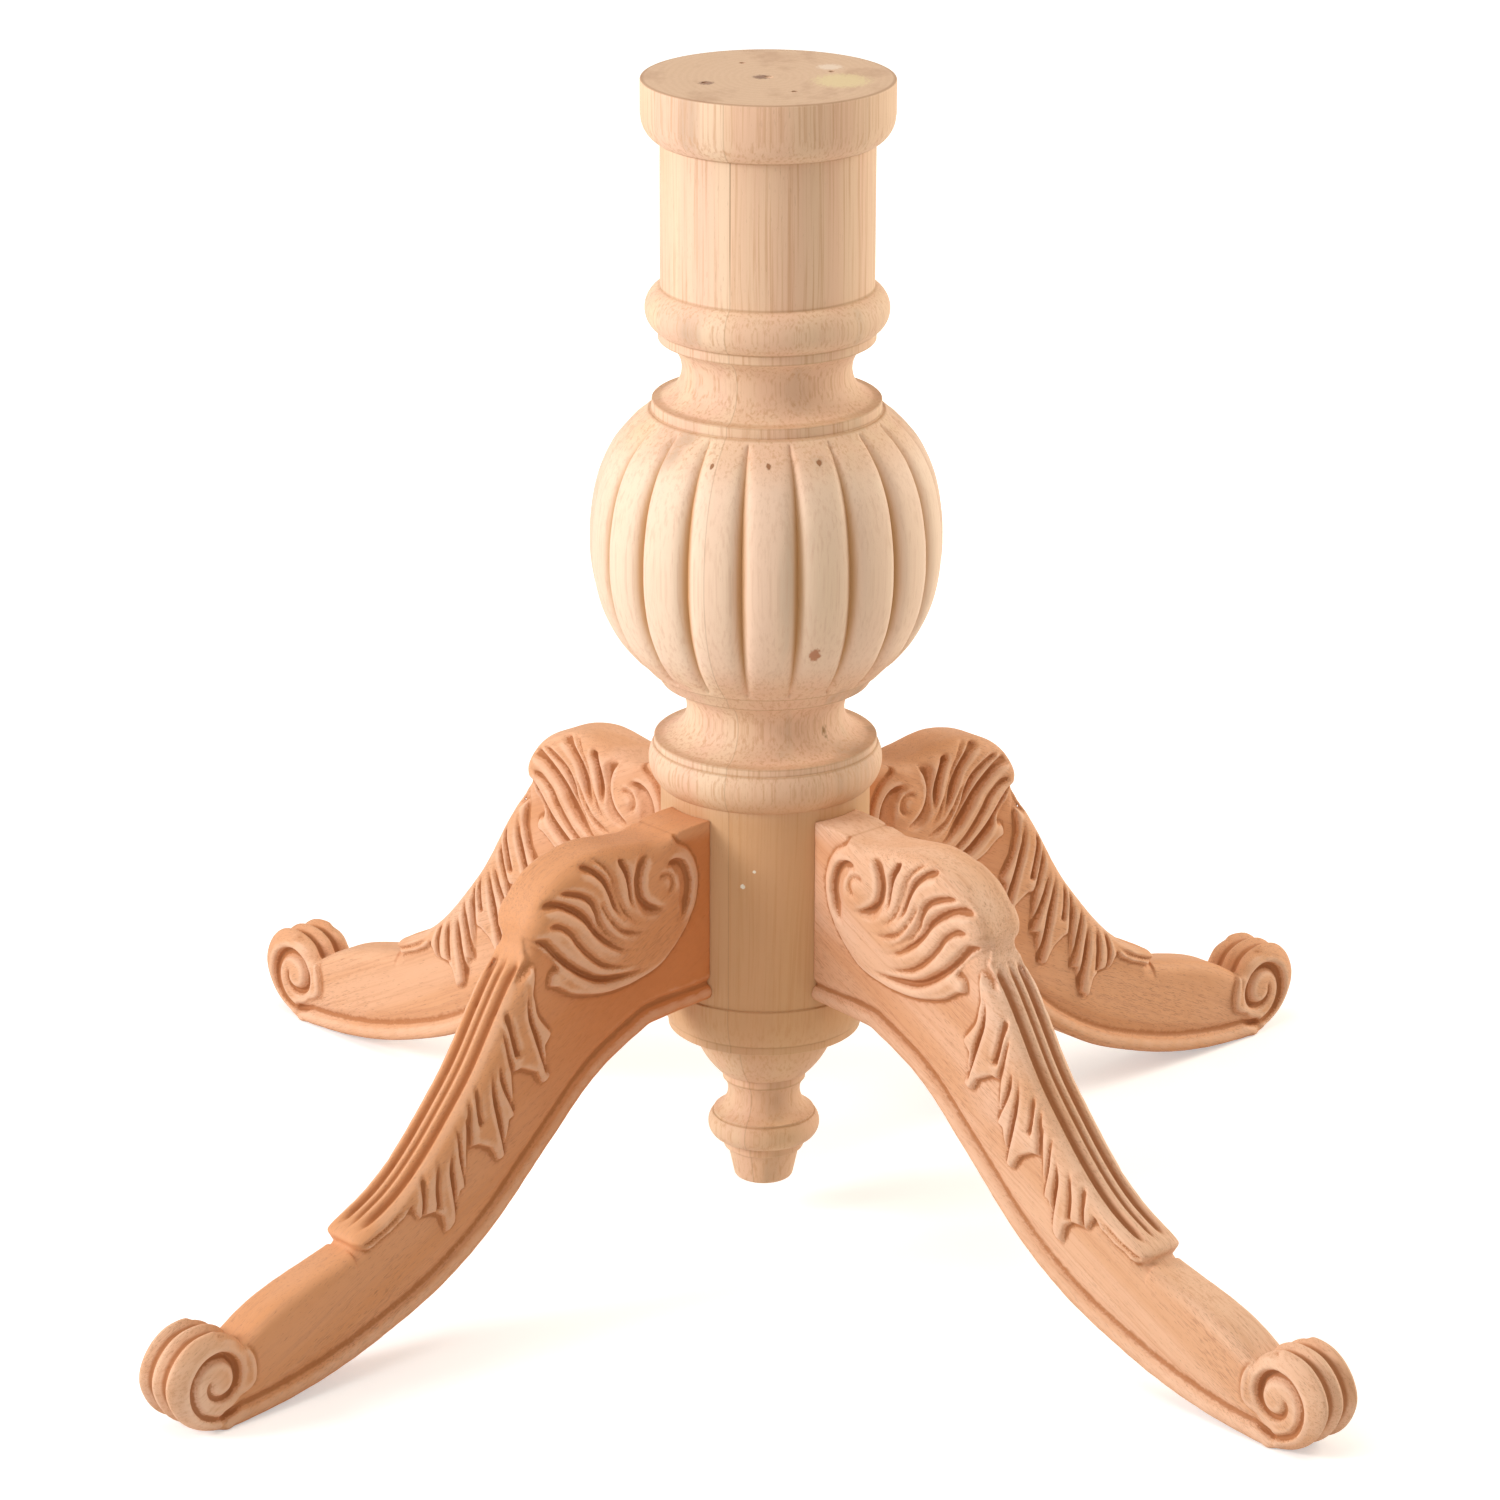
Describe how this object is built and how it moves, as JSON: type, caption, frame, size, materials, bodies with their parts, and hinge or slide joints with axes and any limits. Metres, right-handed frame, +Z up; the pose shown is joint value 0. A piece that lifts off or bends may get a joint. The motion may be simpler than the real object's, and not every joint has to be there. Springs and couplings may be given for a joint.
{
  "type": "carved wooden pedestal table base",
  "caption": "Carved wooden pedestal table base: a turned column with a fluted ball and drop finial on carved scroll-foot legs.",
  "frame": {"origin": "on the floor, on the column's axis", "axes": "+Z up the column's axis, the legs on the diagonals between X and Y"},
  "size_m": [0.6998, 0.6998, 0.7193],
  "materials": {
    "column_wood": "raw, sanded",
    "leg_wood": "raw, sanded",
    "dowel_wood": "raw"
  },
  "bodies": {
    "root": {"turned_column": "column_wood", "leg_back_right": "leg_wood", "leg_back_left": "leg_wood", "leg_front_left": "leg_wood", "leg_front_right": "leg_wood", "dowel_back_right_lower": "dowel_wood", "dowel_back_right_middle": "dowel_wood", "dowel_back_right_upper": "dowel_wood", "dowel_back_left_lower": "dowel_wood", "dowel_back_left_middle": "dowel_wood", "dowel_back_left_upper": "dowel_wood", "dowel_front_left_lower": "dowel_wood", "dowel_front_left_middle": "dowel_wood", "dowel_front_left_upper": "dowel_wood", "dowel_front_right_lower": "dowel_wood", "dowel_front_right_middle": "dowel_wood", "dowel_front_right_upper": "dowel_wood"}
  },
  "joints": []
}
